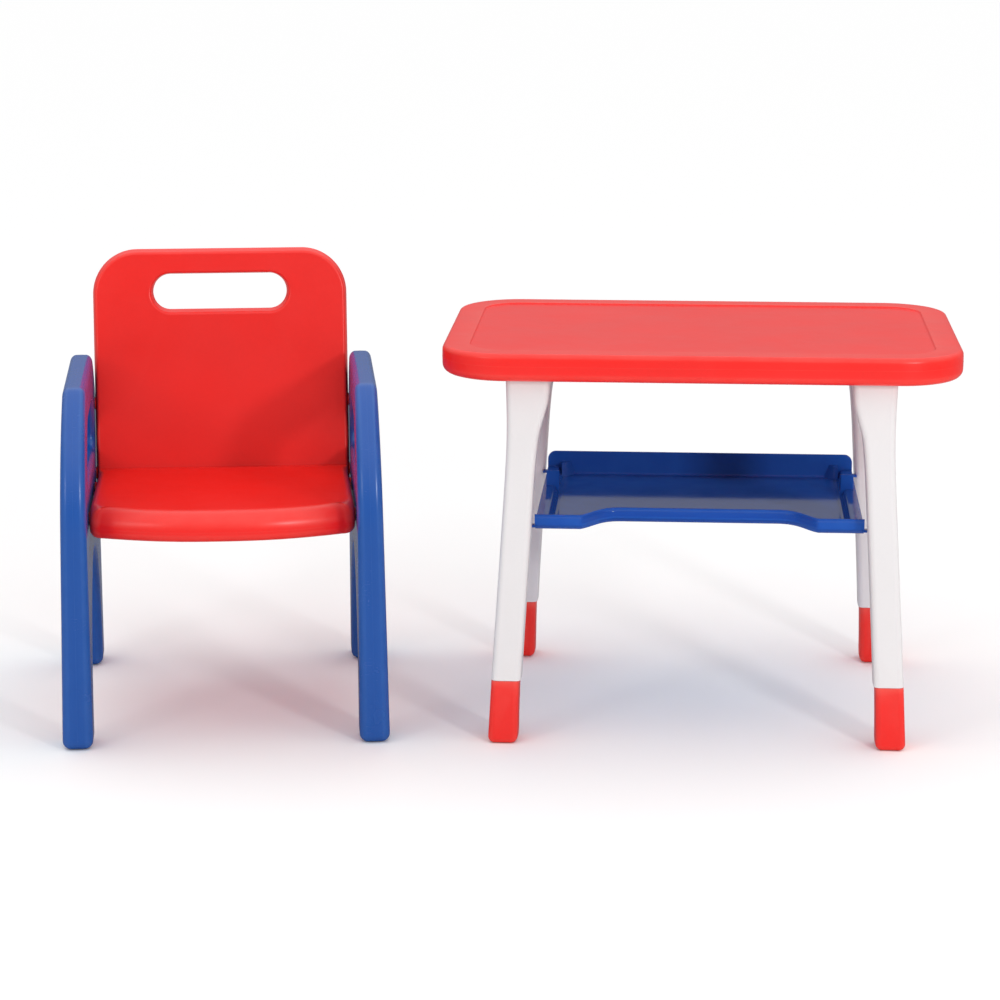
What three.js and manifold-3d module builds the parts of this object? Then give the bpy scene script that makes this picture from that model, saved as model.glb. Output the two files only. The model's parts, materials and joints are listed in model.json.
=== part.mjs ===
// Child's table and chair in moulded plastic. Millimetres, +Z up, front at -Y.
//
// The table is a red slab top on four splayed white legs with red foot caps, and a blue tray
// caught between the legs. The chair is two blue side frames with a red seat and a red back
// bolted between them. Each is drawn square to its own centre, and the two then stand side by
// side, each turned a few degrees towards the middle line in front of the pair.

import * as THREE from 'three';
import { mergeVertices } from 'three/addons/utils/BufferGeometryUtils.js';
import Module from 'manifold-3d';

const wasm = await Module();
wasm.setup();

// ---------------------------------------------------------------- driving dimensions

const gap = 0.3;                 // left between pieces that touch
const tableStand = { across: 240.5, turn: -3.8 };    // off the middle line, and degrees about +Z
const chairStand = { across: -334, turn: 4.9 };

const top = { width: 600, depth: 400, height: 460, thick: 32.5, corner: 76, edge: 9 };
const panel = { rim: 32, deep: 2 };
const kissOff = { across: 5, along: 3, pitchX: 70, pitchY: 78, mouth: 15, floor: 8, deep: 14 };

const leg = {
  top: top.height - top.thick - gap,
  outer: [[242.2, 8], [237.5, 95], [229, 231], [222.4, 350], [223.6, 427.2]],
  inner: [
    [205, 8], [202.4, 95], [191.4, 281], [188, 330], [184.3, 362], [178.6, 384],
    [174.2, 402], [172.3, 427.2],
  ],
  footFace: 204,                 // front face of a front leg at the floor
  lean: 27,                      // how far that face comes in by the top
  footDeep: 40,
  topDeep: 48,
  edge: 6,
  wall: 3,
  cavityTop: 396,
};
const foot = { height: 75, step: 2, corner: 8, plugTop: 100 };
const tenon = { width: 30, deep: 32, rise: 16, root: 4, outwards: 7 };
const flange = { width: 26, deep: 24, thick: 5, root: 6, screwAcross: 189, screwIn: 12 };

const tray = {
  half: 190.2, front: -160, back: 149.5, centreFront: -118, earInner: 138, centreHalf: 92,
  bottom: 243.5, floor: 246, ledge: 256, lip: 265, top: 275,
  floorHalf: 170, wall: 2.5, crossWall: 36, corner: 10, gusset: 14,
};
const traySweep = { earX: 124, earY: 10, middleX: 118 };    // pulls on the curve from ear to middle
const tongue = { reach: 6, wide: 9, setBack: 6, low: 248, high: 251 };

// The side frames stand a little closer together in front than behind.
const frame = {
  innerFront: 154.2, innerRear: 158.4, floorThick: 35.5, armThick: 26.8, half: 204, edge: 8,
};
const arm = { height: 410, half: 98, bend: [112, 410], bendEnd: [124, 402.3] };
const shoulder = { highPull: [157, 381], lowPull: [204, 330], end: 250 };
const arch = { high: 190, widePull: 85, lowPull: 110, half: 150, footCorner: 12 };
const opening = {
  low: 293, high: 360, lowHalf: 118, highHalf: 62, corner: 14, pull: [[113, 330], [90, 360]],
};
const seat = {
  half: 153.7, front: -190, frontSide: -155, back: 105, frontTop: 276, slope: 0.038,
  thick: 36, edge: 9, corner: 14, cornerRise: 3, bow: [0.5, 0.25], bowRise: 2,
};
const back = {
  half: 156.8, low: 238, high: 530, thick: 24, edge: 7, corner: 55, lowCorner: 10,
  lowFront: 108, highFront: 160,
};
const slot = { width: 165, height: 43, down: 52 };
const peg = { radius: 8, root: 12, bore: 25 };
const bolt = { head: 6.5, headDeep: 4, shank: 3, length: 44, sink: 5, headRoom: 1 };
const seatBoltY = [-121, 72];
const backBoltZ = [258, 343];
const screw = { head: 4.5, headDeep: 3, shank: 2, length: 18 };

// ---------------------------------------------------------------- finishes

function plastic(color, roughness) {
  return new THREE.MeshStandardMaterial({ color, roughness, metalness: 0 });
}

const red = plastic('#e8382f', 0.38);
const blue = plastic('#2a57a5', 0.36);
const white = plastic('#efebec', 0.42);
const trayBlue = plastic('#1f46a0', 0.2);
const steel = new THREE.MeshStandardMaterial({ color: '#9a9da1', roughness: 0.35, metalness: 1 });

// ---------------------------------------------------------------- solids

function solid(geometry) {
  const bare = geometry.clone();
  bare.deleteAttribute('normal');
  bare.deleteAttribute('uv');
  const merged = mergeVertices(bare, 1e-4);
  return new wasm.Manifold(new wasm.Mesh({
    numProp: 3,
    vertProperties: merged.attributes.position.array,
    triVerts: Uint32Array.from(merged.index.array),
  }));
}

function named(name, shape, material) {
  const { vertProperties, triVerts } = shape.getMesh();
  const geometry = new THREE.BufferGeometry();
  geometry.setAttribute('position', new THREE.BufferAttribute(vertProperties, 3));
  geometry.setIndex(new THREE.BufferAttribute(triVerts, 1));
  geometry.computeVertexNormals();
  const mesh = new THREE.Mesh(geometry, material);
  mesh.name = name;
  return mesh;
}

// Moves every corner of a geometry by a rule that changes the Vector3 it is given.
function warped(geometry, rule) {
  const position = geometry.attributes.position;
  const corner = new THREE.Vector3();
  for (let i = 0; i < position.count; i += 1) {
    corner.fromBufferAttribute(position, i);
    rule(corner);
    position.setXYZ(i, corner.x, corner.y, corner.z);
  }
  return geometry;
}

function block(lowX, highX, lowY, highY, lowZ, highZ) {
  const geometry = new THREE.BoxGeometry(highX - lowX, highY - lowY, highZ - lowZ);
  geometry.translate((lowX + highX) / 2, (lowY + highY) / 2, (lowZ + highZ) / 2);
  return solid(geometry);
}

// A flat outline made into a plate from z = 0 up, its edges rounded by a quarter circle.
function plate(outline, thick, edge, smooth = 4) {
  const geometry = new THREE.ExtrudeGeometry(outline, {
    depth: thick - 2 * edge,
    curveSegments: smooth,
    bevelEnabled: edge > 0,
    bevelThickness: edge,
    bevelSize: edge,
    bevelOffset: -edge,
    bevelSegments: 2,
  });
  return geometry.translate(0, 0, edge);
}

// Stands a plate up: its outline's second axis becomes height, its thickness runs along Y.
function upright(geometry, frontY) {
  return geometry.rotateX(Math.PI / 2).translate(0, frontY, 0);
}

function roundedRectangle(width, depth, corner) {
  const x = width / 2 - corner;
  const y = depth / 2 - corner;
  const outline = new THREE.Shape();
  outline.absarc(x, y, corner, 0, Math.PI / 2);
  outline.absarc(-x, y, corner, Math.PI / 2, Math.PI);
  outline.absarc(-x, -y, corner, Math.PI, 1.5 * Math.PI);
  outline.absarc(x, -y, corner, 1.5 * Math.PI, 2 * Math.PI);
  return outline;
}

// A turned piece from [radius, height] points, its axis along +Z.
function turned(profile, sides = 10) {
  const points = profile.map(([radius, z]) => new THREE.Vector2(radius, z));
  return new THREE.LatheGeometry(points, sides).rotateX(Math.PI / 2);
}

function rod(radius, low, high) {
  return turned([[0, low], [radius, low], [radius, high], [0, high]]);
}

// ---------------------------------------------------------------- table: legs and feet

const underside = top.height - top.thick;
const legFace = (z) => leg.footFace - leg.lean * (z / underside);
const legDeep = (z) => leg.footDeep + (leg.topDeep - leg.footDeep) * (z / underside);
const legMiddle = (z) => legFace(z) - legDeep(z) / 2;

function legOutline(side, outerIn, innerIn) {
  const outer = leg.outer.map(([x, z]) => new THREE.Vector2(side * (x - outerIn), z));
  const inner = leg.inner.map(([x, z]) => new THREE.Vector2(side * (x + innerIn), z)).reverse();
  const outerFoot = outer[0].x;
  const innerFoot = inner[inner.length - 1].x;
  const outline = new THREE.Shape();
  outline.moveTo(innerFoot + side * foot.corner, 0);
  outline.lineTo(outerFoot - side * foot.corner, 0);
  outline.quadraticCurveTo(outerFoot, 0, outerFoot, foot.corner);
  outline.splineThru(outer.slice(1));
  outline.lineTo(inner[0].x, inner[0].y);
  outline.splineThru(inner.slice(1));
  outline.quadraticCurveTo(innerFoot, 0, innerFoot + side * foot.corner, 0);
  return outline;
}

// The whole height of a leg, foot included; end is -1 for a front leg and 1 for a rear one.
function legBody(side, end, outerIn, innerIn, thinner, edge) {
  const deep = leg.topDeep - thinner;
  const geometry = upright(plate(legOutline(side, outerIn, innerIn), deep, edge, 1), deep / 2);
  return solid(warped(geometry, (corner) => {
    const scale = (legDeep(corner.z) - thinner) / deep;
    corner.y = end * legMiddle(corner.z) + corner.y * scale;
  }));
}

function slab(low, high) {
  return block(-400, 400, -400, 400, low, high);
}

const legScrewX = (side) => side * flange.screwAcross;
const legScrewY = (end) => end * (legFace(underside) - leg.topDeep - flange.screwIn);

function legTenon(side, end, bigger) {
  const x = legScrewX(side) + side * tenon.outwards;
  const y = end * legMiddle(underside);
  const halfX = tenon.width / 2 + bigger;
  const halfY = tenon.deep / 2 + bigger;
  return block(
    x - halfX, x + halfX, y - halfY, y + halfY,
    leg.top - tenon.root, underside + tenon.rise + bigger,
  );
}

function trayTongue(side, end, bigger) {
  const reach = side * (tray.half + tongue.reach + bigger);
  const start = side * (tray.half - 1);
  const near = end < 0 ? tray.front + tongue.setBack : tray.back - tongue.wide;
  return block(
    Math.min(start, reach), Math.max(start, reach),
    near - bigger, near + tongue.wide + bigger,
    tongue.low - bigger, tongue.high + bigger,
  );
}

function tableLeg(side, end) {
  const cavity = legBody(side, end, leg.wall, leg.wall, 2 * leg.wall, 3).intersect(slab(0, leg.cavityTop));
  const flangeX = legScrewX(side);
  const flangeBack = end * (legFace(underside) - leg.topDeep - flange.deep);
  const flangeRoot = end * (legFace(underside) - leg.topDeep + flange.root);
  const ear = block(
    flangeX - flange.width / 2, flangeX + flange.width / 2,
    Math.min(flangeBack, flangeRoot), Math.max(flangeBack, flangeRoot),
    leg.top - flange.thick, leg.top,
  );
  const hole = solid(rod(screw.shank + gap, leg.top - 20, leg.top + 1).translate(flangeX, legScrewY(end), 0));
  return legBody(side, end, 0, 0, 0, leg.edge)
    .intersect(slab(foot.height, leg.top))
    .subtract(cavity)
    .add(legTenon(side, end, 0))
    .add(ear)
    .subtract(hole)
    .subtract(trayTongue(side, end, gap));
}

function footCap(side, end) {
  const clear = leg.wall + gap;
  const plug = legBody(side, end, clear, clear, 2 * clear, 3).intersect(slab(foot.height - 10, foot.plugTop));
  return legBody(side, end, 0, foot.step, 0, leg.edge)
    .intersect(slab(-1, foot.height - gap))
    .add(plug);
}

// Pan head down, point up.
function legScrew(side, end) {
  const headTop = leg.top - flange.thick - gap;
  const point = headTop + screw.length;
  return solid(turned([
    [0, headTop - screw.headDeep],
    [screw.head * 0.7, headTop - screw.headDeep],
    [screw.head, headTop - screw.headDeep * 0.4],
    [screw.head, headTop],
    [screw.shank, headTop],
    [screw.shank, point - 3],
    [0, point],
  ]).translate(legScrewX(side), legScrewY(end), 0));
}

// ---------------------------------------------------------------- table: top

function tabletop(corners) {
  const outline = roundedRectangle(top.width, top.depth, top.corner);
  const inner = roundedRectangle(
    top.width - 2 * panel.rim, top.depth - 2 * panel.rim, top.corner - panel.rim,
  );
  let body = solid(plate(outline, top.thick, top.edge, 5).translate(0, 0, underside));
  body = body.subtract(solid(plate(inner, 10, 0).translate(0, 0, top.height - panel.deep)));
  for (const [side, end] of corners) {
    body = body.subtract(legTenon(side, end, gap));
    const pilot = rod(screw.shank + gap, underside - 1, underside + screw.length - flange.thick);
    body = body.subtract(solid(pilot.translate(legScrewX(side), legScrewY(end), 0)));
  }
  for (let column = 0; column < kissOff.across; column += 1) {
    for (let row = 0; row < kissOff.along; row += 1) {
      const dimple = turned([
        [0, -1],
        [kissOff.mouth, -1],
        [kissOff.mouth, 0],
        [kissOff.floor, kissOff.deep],
        [0, kissOff.deep],
      ], 8);
      const x = (column - (kissOff.across - 1) / 2) * kissOff.pitchX;
      const y = (row - (kissOff.along - 1) / 2) * kissOff.pitchY;
      body = body.subtract(solid(dimple.translate(x, y, underside)));
    }
  }
  return body;
}

// ---------------------------------------------------------------- table: tray

// Plan of the tray: two ears reach forward beside the legs, the middle is drawn back.
function trayPlan(half, inset, backY) {
  const front = tray.front + inset;
  const middle = tray.centreFront + inset;
  const outline = new THREE.Shape();
  outline.moveTo(-half, backY);
  outline.lineTo(-half, front);
  outline.lineTo(-tray.earInner, front);
  const { earX, earY, middleX } = traySweep;
  outline.bezierCurveTo(-earX, front + earY, -middleX, middle, -tray.centreHalf, middle);
  outline.lineTo(tray.centreHalf, middle);
  outline.bezierCurveTo(middleX, middle, earX, front + earY, tray.earInner, front);
  outline.lineTo(half, front);
  outline.lineTo(half, backY);
  return outline;
}

function level(outline, low, high) {
  return solid(plate(outline, high - low, 0, 6).translate(0, 0, low));
}

function storageTray(corners) {
  const innerBack = tray.back - tray.wall;
  const underHalf = tray.half - tray.wall;
  let body = level(trayPlan(tray.half, 0, tray.back), tray.bottom, tray.lip);
  body = body.subtract(level(trayPlan(tray.floorHalf, tray.wall, innerBack), tray.floor, tray.lip + 1));
  body = body.subtract(level(trayPlan(underHalf, tray.wall, innerBack), tray.ledge, tray.lip + 1));
  for (const side of [-1, 1]) {
    const near = side * (tray.floorHalf + tray.wall);
    const far = side * underHalf;
    body = body.subtract(block(
      Math.min(near, far), Math.max(near, far),
      tray.front + tray.wall, innerBack,
      tray.bottom - 1, tray.ledge - tray.wall,
    ));
    body = body.add(block(
      Math.min(side * tray.floorHalf, side * tray.half), Math.max(side * tray.floorHalf, side * tray.half),
      tray.crossWall, tray.crossWall + tray.wall,
      tray.ledge - 1, tray.top,
    ));
    const gusset = new THREE.Shape();
    gusset.moveTo(side * (tray.floorHalf + 1), 0);
    gusset.lineTo(side * (tray.floorHalf - tray.gusset), 0);
    gusset.lineTo(side * (tray.floorHalf + 1), -tray.gusset);
    body = body.add(solid(plate(gusset, tray.ledge - tray.floor + 1, 0)
      .translate(0, innerBack + 1, tray.floor - 1)));
  }
  const rear = new THREE.Shape();
  rear.moveTo(-tray.half, tray.bottom);
  rear.lineTo(tray.half, tray.bottom);
  rear.absarc(tray.half - tray.corner, tray.top - tray.corner, tray.corner, 0, Math.PI / 2);
  rear.absarc(-tray.half + tray.corner, tray.top - tray.corner, tray.corner, Math.PI / 2, Math.PI);
  body = body.add(solid(upright(plate(rear, tray.wall, 0, 3), tray.back)));
  for (const [side, end] of corners) {
    body = body.add(trayTongue(side, end, 0));
  }
  return body;
}

// ---------------------------------------------------------------- chair: side frames

// The opening under the arm: flat below, its ends curving in to a flat top.
function frameOpening() {
  const { low, high, lowHalf, highHalf, corner } = opening;
  const [lowPull, highPull] = opening.pull;
  const hole = new THREE.Path();
  hole.moveTo(-lowHalf + corner, low);
  hole.lineTo(lowHalf - corner, low);
  hole.quadraticCurveTo(lowHalf, low, lowHalf, low + corner);
  hole.bezierCurveTo(...lowPull, ...highPull, highHalf, high);
  hole.lineTo(-highHalf, high);
  hole.bezierCurveTo(-highPull[0], highPull[1], -lowPull[0], lowPull[1], -lowHalf, low + corner);
  hole.quadraticCurveTo(-lowHalf, low, -lowHalf + corner, low);
  return hole;
}

// One side seen from the side: straight legs, a curved shoulder up to a flat arm, an arch below.
function frameOutline() {
  const { half } = frame;
  const { highPull, lowPull } = shoulder;
  const outline = new THREE.Shape();
  const bottomCorner = (fromY, toY, z) => outline.quadraticCurveTo(fromY, 0, toY, z);
  outline.moveTo(-half + arch.footCorner, 0);
  outline.lineTo(-arch.half - arch.footCorner, 0);
  bottomCorner(-arch.half, -arch.half, arch.footCorner);
  outline.bezierCurveTo(-arch.half, arch.lowPull, -arch.widePull, arch.high, 0, arch.high);
  outline.bezierCurveTo(arch.widePull, arch.high, arch.half, arch.lowPull, arch.half, arch.footCorner);
  bottomCorner(arch.half, arch.half + arch.footCorner, 0);
  outline.lineTo(half - arch.footCorner, 0);
  bottomCorner(half, half, arch.footCorner);
  outline.lineTo(half, shoulder.end);
  outline.bezierCurveTo(...lowPull, ...highPull, ...arm.bendEnd);
  outline.quadraticCurveTo(...arm.bend, arm.half, arm.height);
  outline.lineTo(-arm.half, arm.height);
  outline.quadraticCurveTo(-arm.bend[0], arm.bend[1], -arm.bendEnd[0], arm.bendEnd[1]);
  outline.bezierCurveTo(-highPull[0], highPull[1], -lowPull[0], lowPull[1], -half, shoulder.end);
  outline.lineTo(-half, arch.footCorner);
  bottomCorner(-half, -half + arch.footCorner, 0);
  outline.holes.push(frameOpening());
  return outline;
}

const frameInner = (y) => {
  const share = (y + frame.half) / (2 * frame.half);
  return frame.innerFront + (frame.innerRear - frame.innerFront) * share;
};
const frameThick = (z) => frame.floorThick + (frame.armThick - frame.floorThick) * (z / arm.height);

// Where a side frame takes a bolt: [y, z], two into the seat's edge and two into the back's.
const backLean = (back.highFront - back.lowFront) / (back.high - back.low);
const backMiddle = (z) => back.lowFront + (z - back.low) * backLean + back.thick / 2;
const seatMiddle = (y) => seat.frontTop - (y - seat.frontSide) * seat.slope - seat.thick / 2;
const seatBolts = seatBoltY.map((y) => [y, seatMiddle(y)]);
const backBolts = backBoltZ.map((z) => [backMiddle(z), z]);
const allBolts = [...seatBolts, ...backBolts];

// Turns a piece made along +Z so that it runs along X, outwards on the given side.
function across(geometry, side, y, z) {
  return geometry.rotateY(side * Math.PI / 2).translate(0, y, z);
}

// How far out the head of a bolt bears on the floor of its recess.
function boltHeadSeat(y, z) {
  return frameInner(y) + frameThick(z) - bolt.sink - bolt.headDeep;
}

function sideFrame(side) {
  const geometry = plate(frameOutline(), frame.floorThick, frame.edge, 8);
  // The outline's first axis is turned to run along Y and its second to run up.
  warped(geometry, (corner) => {
    const thinner = frameThick(corner.y) / frame.floorThick;
    const x = frameInner(side * corner.x) + corner.z * thinner;
    corner.set(side * x, side * corner.x, corner.y);
  });
  const outside = frame.innerRear + frame.floorThick + 1;
  let body = solid(geometry);
  for (const [y, z] of allBolts) {
    const hole = rod(bolt.shank + gap, frame.innerFront - 1, outside);
    const recess = rod(bolt.head + bolt.headRoom, boltHeadSeat(y, z), outside);
    body = body.subtract(solid(across(hole, side, y, z)));
    body = body.subtract(solid(across(recess, side, y, z)));
  }
  return body;
}

function frameBolt(side, y, z) {
  const seatX = boltHeadSeat(y, z) + gap;
  return solid(across(turned([
    [0, seatX - bolt.length],
    [bolt.shank, seatX - bolt.length + 2],
    [bolt.shank, seatX],
    [bolt.head, seatX],
    [bolt.head, seatX + bolt.headDeep * 0.5],
    [bolt.head * 0.6, seatX + bolt.headDeep],
    [0, seatX + bolt.headDeep],
  ]), side, y, z));
}

// The pegs stand out of a piece's edges and bear on the frames; each is bored for its bolt.
function pegged(body, half, places) {
  let result = body;
  for (const side of [-1, 1]) {
    for (const [y, z] of places) {
      const stub = rod(peg.radius, half - peg.root, frameInner(y) - gap);
      const bore = rod(bolt.shank + gap, half - peg.bore, frame.innerRear);
      result = result.add(solid(across(stub, side, y, z)));
      result = result.subtract(solid(across(bore, side, y, z)));
    }
  }
  return result;
}

// ---------------------------------------------------------------- chair: seat and back

function chairSeat() {
  const { half, front, frontSide, corner } = seat;
  const cornerY = frontSide - seat.cornerRise;
  const bowY = front + seat.bowRise;
  const [wide, narrow] = seat.bow.map((share) => share * half);
  const outline = new THREE.Shape();
  outline.moveTo(half, seat.back);
  outline.lineTo(-half, seat.back);
  outline.lineTo(-half, frontSide + corner);
  outline.quadraticCurveTo(-half, frontSide, -half + corner, cornerY);
  outline.bezierCurveTo(-wide, bowY, -narrow, front, 0, front);
  outline.bezierCurveTo(narrow, front, wide, bowY, half - corner, cornerY);
  outline.quadraticCurveTo(half, frontSide, half, frontSide + corner);
  const geometry = plate(outline, seat.thick, seat.edge, 6);
  warped(geometry, (point) => {
    point.z += seat.frontTop - seat.thick - (point.y - frontSide) * seat.slope;
  });
  return pegged(solid(geometry), half, seatBolts);
}

function chairBack() {
  const { half, low, high, corner, lowCorner } = back;
  const outline = new THREE.Shape();
  outline.absarc(half - corner, high - corner, corner, 0, Math.PI / 2);
  outline.absarc(-half + corner, high - corner, corner, Math.PI / 2, Math.PI);
  outline.absarc(-half + lowCorner, low + lowCorner, lowCorner, Math.PI, 1.5 * Math.PI);
  outline.absarc(half - lowCorner, low + lowCorner, lowCorner, 1.5 * Math.PI, 2 * Math.PI);
  const grip = new THREE.Path();
  const end = slot.width / 2 - slot.height / 2;
  const slotZ = high - slot.down;
  grip.absarc(end, slotZ, slot.height / 2, -Math.PI / 2, Math.PI / 2);
  grip.absarc(-end, slotZ, slot.height / 2, Math.PI / 2, 1.5 * Math.PI);
  outline.holes.push(grip);
  const geometry = upright(plate(outline, back.thick, back.edge, 5), back.thick + back.lowFront);
  warped(geometry, (point) => {
    point.y += (point.z - low) * backLean;
  });
  return pegged(solid(geometry), half, backBolts);
}

// ---------------------------------------------------------------- assembly

const sides = [['left', -1], ['right', 1]];
const ends = [['front', -1], ['rear', 1]];
const corners = sides.flatMap(([, side]) => ends.map(([, end]) => [side, end]));

function buildTable() {
  const table = new THREE.Group();
  table.add(named('tabletop', tabletop(corners), red));
  table.add(named('tray', storageTray(corners), trayBlue));
  for (const [endName, end] of ends) {
    for (const [sideName, side] of sides) {
      const place = `${endName}_${sideName}`;
      table.add(named(`leg_${place}`, tableLeg(side, end), white));
      table.add(named(`foot_cap_${place}`, footCap(side, end), red));
      table.add(named(`leg_screw_${place}`, legScrew(side, end), steel));
    }
  }
  return table;
}

function buildChair() {
  const chair = new THREE.Group();
  chair.add(named('seat', chairSeat(), red));
  chair.add(named('backrest', chairBack(), red));
  const boltNames = ['seat_bolt_front', 'seat_bolt_rear', 'back_bolt_lower', 'back_bolt_upper'];
  for (const [sideName, side] of sides) {
    chair.add(named(`side_frame_${sideName}`, sideFrame(side), blue));
    allBolts.forEach(([y, z], i) => {
      chair.add(named(`${boltNames[i]}_${sideName}`, frameBolt(side, y, z), steel));
    });
  }
  return chair;
}

function stand(piece, { across: offset, turn }) {
  piece.position.x = offset;
  piece.rotation.z = THREE.MathUtils.degToRad(turn);
  return piece;
}

const group = new THREE.Group();
group.add(stand(buildTable(), tableStand));
group.add(stand(buildChair(), chairStand));

// The origin is on the floor, in the middle of the pair's plan.
group.updateMatrixWorld(true);
const middle = new THREE.Box3().setFromObject(group, true).getCenter(new THREE.Vector3());
group.position.set(-middle.x, -middle.y, 0);

export default group;
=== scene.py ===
import json
import math

import bmesh
import bpy
from mathutils import Matrix, Vector


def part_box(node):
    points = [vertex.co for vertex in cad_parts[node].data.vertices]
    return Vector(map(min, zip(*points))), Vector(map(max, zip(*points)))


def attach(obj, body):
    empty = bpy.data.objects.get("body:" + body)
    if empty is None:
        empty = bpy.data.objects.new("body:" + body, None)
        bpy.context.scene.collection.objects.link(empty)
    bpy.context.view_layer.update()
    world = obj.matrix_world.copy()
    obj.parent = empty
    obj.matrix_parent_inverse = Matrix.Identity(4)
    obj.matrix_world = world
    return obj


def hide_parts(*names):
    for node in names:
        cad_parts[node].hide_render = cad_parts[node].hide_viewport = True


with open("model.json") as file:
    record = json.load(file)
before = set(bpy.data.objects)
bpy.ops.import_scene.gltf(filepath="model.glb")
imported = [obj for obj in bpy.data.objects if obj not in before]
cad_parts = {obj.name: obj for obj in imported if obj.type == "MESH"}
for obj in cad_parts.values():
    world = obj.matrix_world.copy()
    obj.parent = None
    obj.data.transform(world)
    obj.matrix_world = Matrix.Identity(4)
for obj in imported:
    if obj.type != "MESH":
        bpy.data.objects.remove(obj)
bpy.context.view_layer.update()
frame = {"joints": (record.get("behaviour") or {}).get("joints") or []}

# ---------------------------------------------------------------- where the pieces stand
# The table and the chair stand side by side, each turned a few degrees towards the middle
# line. Every piece below is drawn square to its own centre, front at -Y, and then stood there.

TABLE_TURN = math.radians(-3.8)
MIDDLE_LINE = 0.2405  # from the table's centre to the line between the two pieces
APART = 0.5745  # from the chair's centre to the table's

top_low, top_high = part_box("tabletop")
table_centre = Vector(((top_low[0] + top_high[0]) / 2, (top_low[1] + top_high[1]) / 2, 0))
chair_centre = table_centre - Vector((APART, 0, 0))
pull = Vector(frame["joints"][0]["axis"])
table_stand = Matrix.Translation(table_centre) @ Matrix.Rotation(TABLE_TURN, 4, "Z")
chair_turn = math.atan2(pull.x, -pull.y)  # the chair slides the way it faces
chair_stand = Matrix.Translation(chair_centre) @ Matrix.Rotation(chair_turn, 4, "Z")

# ---------------------------------------------------------------- camera
# A long lens on the middle line, a little over a metre up and looking slightly down.

CAMERA_BACK = 3.530
CAMERA_HEIGHT = 1.064
CAMERA_DOWN = math.radians(13.01)
LENS_MM, SENSOR_MM = 108, 36

camera_data = bpy.data.cameras.new("camera")
camera_data.lens = LENS_MM
camera_data.sensor_width = SENSOR_MM
camera = bpy.data.objects.new("camera", camera_data)
camera.location = (table_centre.x - MIDDLE_LINE, table_centre.y - CAMERA_BACK, CAMERA_HEIGHT)
camera.rotation_euler = (math.pi / 2 - CAMERA_DOWN, 0, 0)
bpy.context.scene.collection.objects.link(camera)
bpy.context.scene.camera = camera

# ---------------------------------------------------------------- studio
# A white room: even light that grows towards the ceiling, a soft light in front on the right
# and a weaker one on the left. The floor is plain and nearly white.

WALLS_FROM, WALLS_TO = 0.15, 0.8  # how high up the light starts and stops growing
WALLS_DIM, WALLS_BRIGHT = 0.30, 1.28
LAMPS_AIM = Vector((0, 0, 0.25))
FLOOR_REACH = 30
FLOOR_TONE = (0.97, 0.97, 0.97, 1)
FLOOR_MIRRORED = (0.30, 0.30, 0.30, 1)  # in gloss only, so that glossy plastic keeps its colour

bpy.context.scene.view_settings.view_transform = "Standard"

world = bpy.data.worlds.new("studio")
world.use_nodes = True
sky = world.node_tree
rising = sky.nodes.new("ShaderNodeSeparateXYZ")
sky.links.new(sky.nodes.new("ShaderNodeTexCoord").outputs["Generated"], rising.inputs["Vector"])
walls = sky.nodes.new("ShaderNodeMapRange")
walls.inputs["From Min"].default_value = WALLS_FROM
walls.inputs["From Max"].default_value = WALLS_TO
walls.inputs["To Min"].default_value = WALLS_DIM
walls.inputs["To Max"].default_value = WALLS_BRIGHT
sky.links.new(rising.outputs["Z"], walls.inputs["Value"])
seen = sky.nodes.new("ShaderNodeMix")
sky.links.new(sky.nodes.new("ShaderNodeLightPath").outputs["Is Camera Ray"], seen.inputs["Factor"])
sky.links.new(walls.outputs["Result"], seen.inputs["A"])
seen.inputs["B"].default_value = 1.0
sky.links.new(seen.outputs["Result"], sky.nodes["Background"].inputs["Strength"])
sky.nodes["Background"].inputs["Color"].default_value = (1, 1, 1, 1)
bpy.context.scene.world = world


def soft_light(name, place, width, height, power):
    """A rectangular area light that faces the middle of the set."""
    data = bpy.data.lights.new(name, "AREA")
    data.shape = "RECTANGLE"
    data.size = width
    data.size_y = height
    data.energy = power
    lamp = bpy.data.objects.new(name, data)
    lamp.location = place
    towards = LAMPS_AIM - Vector(place)
    lamp.rotation_euler = towards.to_track_quat("-Z", "Y").to_euler()
    bpy.context.scene.collection.objects.link(lamp)


soft_light("key_right", (1.55, -2.6, 1.3), width=0.30, height=0.34, power=20)
soft_light("key_left", (-1.9, -2.3, 1.25), width=0.4, height=0.5, power=6)

floor_mesh = bpy.data.meshes.new("floor")
floor_corners = [(x * FLOOR_REACH, y * FLOOR_REACH, 0) for x, y in ((-1, -1), (1, -1), (1, 1), (-1, 1))]
floor_mesh.from_pydata(floor_corners, [], [(0, 1, 2, 3)])
floor = bpy.data.objects.new("floor", floor_mesh)
bpy.context.scene.collection.objects.link(floor)
floor_finish = bpy.data.materials.new("pale_floor")
floor_finish.use_nodes = True
floor_shader = floor_finish.node_tree.nodes["Principled BSDF"]
floor_tone = floor_finish.node_tree.nodes.new("ShaderNodeMix")
floor_tone.data_type = "RGBA"
floor_tone.inputs["A"].default_value = FLOOR_TONE
floor_tone.inputs["B"].default_value = FLOOR_MIRRORED
mirrored_in_gloss = floor_finish.node_tree.nodes.new("ShaderNodeLightPath").outputs["Is Glossy Ray"]
floor_finish.node_tree.links.new(mirrored_in_gloss, floor_tone.inputs["Factor"])
floor_finish.node_tree.links.new(floor_tone.outputs["Result"], floor_shader.inputs["Base Color"])
floor_shader.inputs["Roughness"].default_value = 0.9
floor_shader.inputs["Specular IOR Level"].default_value = 0
floor_mesh.materials.append(floor_finish)

# ---------------------------------------------------------------- tabletop
# A red slab, blow moulded in one piece of polyethylene. Its field is sunk 2 mm inside a raised
# rim, a faint parting line runs round its edge, and round dimples under it tie its two walls
# together. Four sockets under it take the legs; they are not drawn.

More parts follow.
